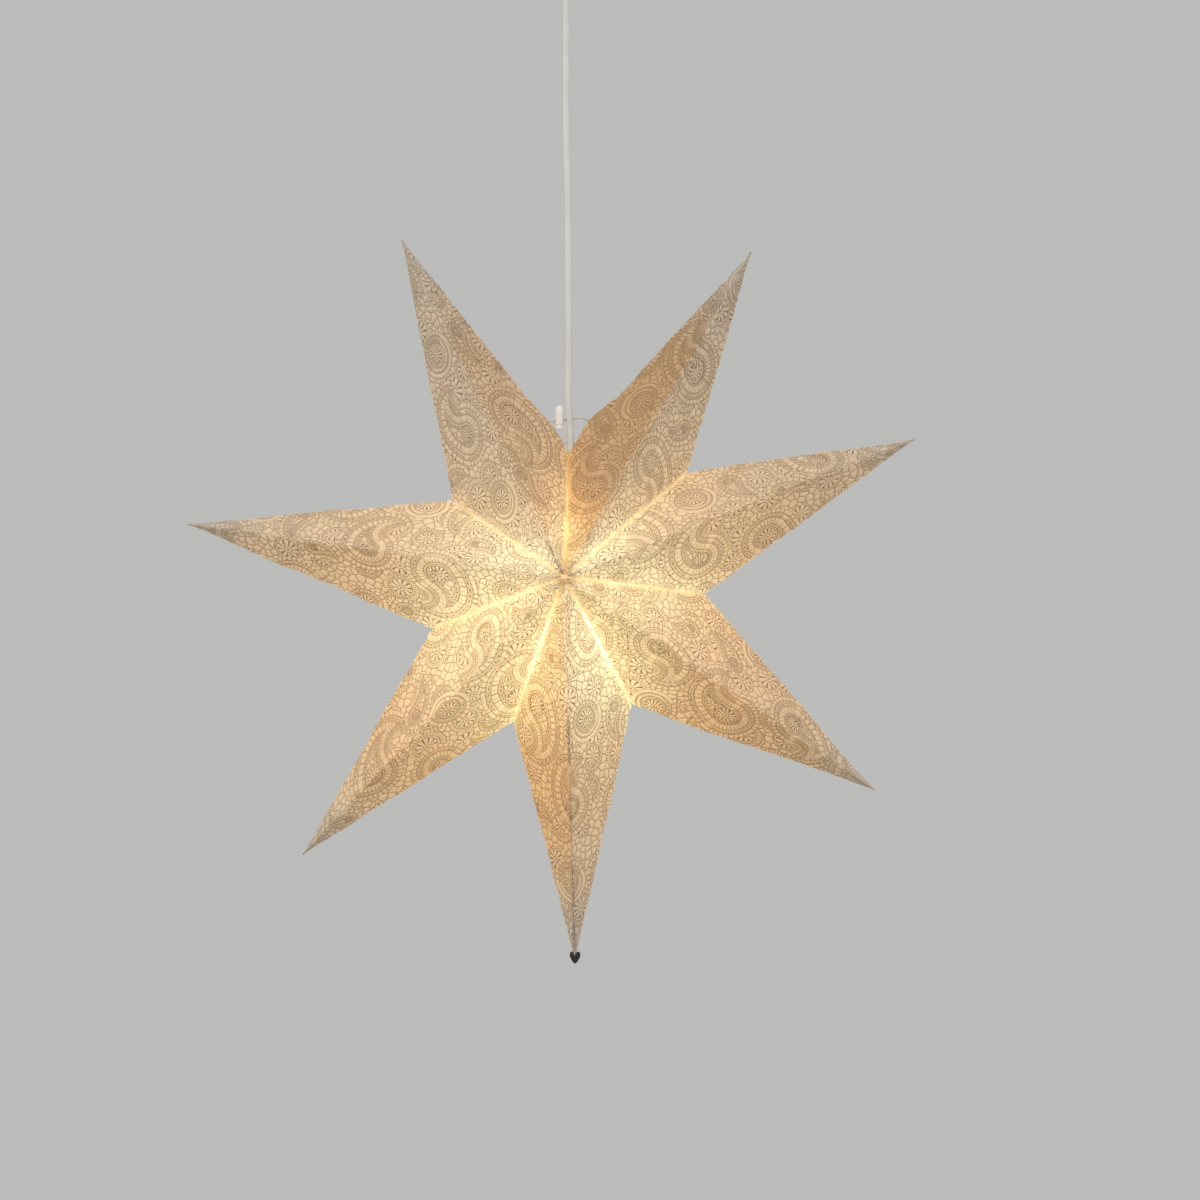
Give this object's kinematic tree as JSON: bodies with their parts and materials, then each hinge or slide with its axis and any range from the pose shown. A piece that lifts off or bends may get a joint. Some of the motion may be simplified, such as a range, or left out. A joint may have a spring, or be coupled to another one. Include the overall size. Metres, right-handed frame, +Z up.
{
  "type": "paper star pendant",
  "caption": "Lit paper star lantern of folded pointed sleeves in a lace pattern, hung by a flat cord from a ceiling cup; it unties, comes down and folds flat like a fan.",
  "frame": {"origin": "centre of the ceiling plate's upper face, where it meets the ceiling", "axes": "+Z up, the star's front looks along -Y, +X to the right as the front shows it"},
  "size_m": [0.5764, 0.18, 0.8465],
  "materials": {
    "star_paper": "embossed handmade paper with a paisley and lace relief",
    "clip_black": "satin black",
    "tie_string": "twisted cotton",
    "white_plastic": "fine satin",
    "clear_plastic": "translucent nylon",
    "cord_sheath": "smooth soft sheath",
    "core_sheath": "smooth",
    "zinc_steel": "zinc plated",
    "brass": "plain",
    "spring_steel": "bright wire",
    "bulb_glass": "satin white",
    "bulb_white": "plain",
    "bulb_black": "vitrite",
    "filament": "glowing yellow coating"
  },
  "bodies": {
    "ceiling_fitting": {"ceiling_plate": "zinc_steel", "hanger_strap": "zinc_steel", "cord_clamp_bar": "zinc_steel", "cord_clamp_screws": "zinc_steel", "terminal_block": "white_plastic", "terminal_screws": "brass", "cord_cores": "core_sheath", "cord_end": "cord_sheath"},
    "cup": {"ceiling_cup": "white_plastic", "cup_collar": "white_plastic", "collar_nut": "white_plastic"},
    "cup_screw": {"collar_screw": "white_plastic"},
    "cord_top": {"cord_upper": "cord_sheath"},
    "pendant": {"cord_lower": "cord_sheath", "holder_cap": "white_plastic", "holder_cord_screw": "white_plastic", "holder_skirt": "white_plastic", "holder_core": "bulb_white", "holder_terminal_screws": "brass", "side_contact": "brass", "centre_contact": "brass"},
    "bulb": {"bulb_glass": "bulb_glass", "bulb_screw_cap": "brass", "bulb_insulator": "bulb_black", "bulb_contact": "zinc_steel", "bulb_stem": "bulb_white", "bulb_filaments": "filament"},
    "star_base": {"paper_point_5": "star_paper", "tip_clip": "clip_black"},
    "point_1": {"paper_point_1": "star_paper", "tie_left": "tie_string"},
    "point_2": {"paper_point_2": "star_paper", "tie_right": "tie_string"},
    "point_3": {"paper_point_3": "star_paper"},
    "point_4": {"paper_point_4": "star_paper"},
    "point_6": {"paper_point_6": "star_paper"},
    "point_7": {"paper_point_7": "star_paper"},
    "cord_lock": {"lock_barrel": "clear_plastic", "lock_spring": "spring_steel"},
    "lock_button": {"lock_plunger": "clear_plastic"}
  },
  "joints": [
    {"name": "cup_slide", "type": "slide", "parent": "ceiling_fitting", "child": "cup", "axis": [0, 0, -1], "range_m": [0, 0.06]},
    {"name": "cup_screw_turn", "type": "hinge", "parent": "cup", "child": "cup_screw", "pos_m": [0.009, 0, -0.0685], "axis": [1, 0, 0], "continuous": true},
    {"name": "cord_twist", "type": "hinge", "parent": "ceiling_fitting", "child": "cord_top", "pos_m": [0, 0, -0.04], "axis": [0, 0, 1], "range_deg": [-180, 180], "stiffness_Nm_per_rad": 0.002},
    {"name": "pendant_swing", "type": "hinge", "parent": "cord_top", "child": "pendant", "pos_m": [0, 0, -0.14], "axis": [1, 0, 0], "range_deg": [-20, 20], "deforming": ["cord_upper"]},
    {"name": "bulb_out", "type": "slide", "parent": "pendant", "child": "bulb", "axis": [0, 0, -1], "range_m": [0, 0.025]},
    {"name": "star_let_down", "type": "slide", "parent": "pendant", "child": "star_base", "axis": [0, 0, -1], "range_m": [0, 0.22], "deforming": ["paper_point_5"]},
    {"name": "point_1_fold", "type": "hinge", "parent": "star_base", "child": "point_1", "pos_m": [0, 0, -0.542], "axis": [0, -1, 0], "range_deg": [0, 149], "deforming": ["paper_point_1", "tie_left"]},
    {"name": "point_7_fold", "type": "hinge", "parent": "star_base", "child": "point_7", "pos_m": [0, 0, -0.542], "axis": [0, -1, 0], "range_deg": [0, 95], "deforming": ["paper_point_7"]},
    {"name": "point_6_fold", "type": "hinge", "parent": "star_base", "child": "point_6", "pos_m": [0, 0, -0.542], "axis": [0, -1, 0], "range_deg": [0, 43], "deforming": ["paper_point_6"]},
    {"name": "point_4_fold", "type": "hinge", "parent": "star_base", "child": "point_4", "pos_m": [0, 0, -0.542], "axis": [0, -1, 0], "range_deg": [-52, 0], "deforming": ["paper_point_4"]},
    {"name": "point_3_fold", "type": "hinge", "parent": "star_base", "child": "point_3", "pos_m": [0, 0, -0.542], "axis": [0, -1, 0], "range_deg": [-106, 0], "deforming": ["paper_point_3"]},
    {"name": "point_2_fold", "type": "hinge", "parent": "star_base", "child": "point_2", "pos_m": [0, 0, -0.542], "axis": [0, -1, 0], "range_deg": [-143, 0], "deforming": ["paper_point_2", "tie_right"]},
    {"name": "lock_hangs_in", "type": "slide", "parent": "point_1", "child": "cord_lock", "axis": [-0.8996, 0, -0.4368], "range_m": [0, 0.0451]},
    {"name": "lock_press", "type": "slide", "parent": "cord_lock", "child": "lock_button", "axis": [0, 0, 1], "range_m": [0, 0.0015], "stiffness_N_per_m": 400, "springref_m": -0.002, "deforming": ["lock_spring"]}
  ],
  "couplings": [
    {"joint": "point_1_fold", "follows": "star_let_down", "rad_per_m": 11.805},
    {"joint": "point_7_fold", "follows": "star_let_down", "rad_per_m": 7.5366},
    {"joint": "point_6_fold", "follows": "star_let_down", "rad_per_m": 3.3875},
    {"joint": "point_4_fold", "follows": "star_let_down", "rad_per_m": -4.1253},
    {"joint": "point_3_fold", "follows": "star_let_down", "rad_per_m": -8.4093},
    {"joint": "point_2_fold", "follows": "star_let_down", "rad_per_m": -11.305},
    {"joint": "lock_hangs_in", "follows": "star_let_down", "ratio": 0.20455}
  ]
}
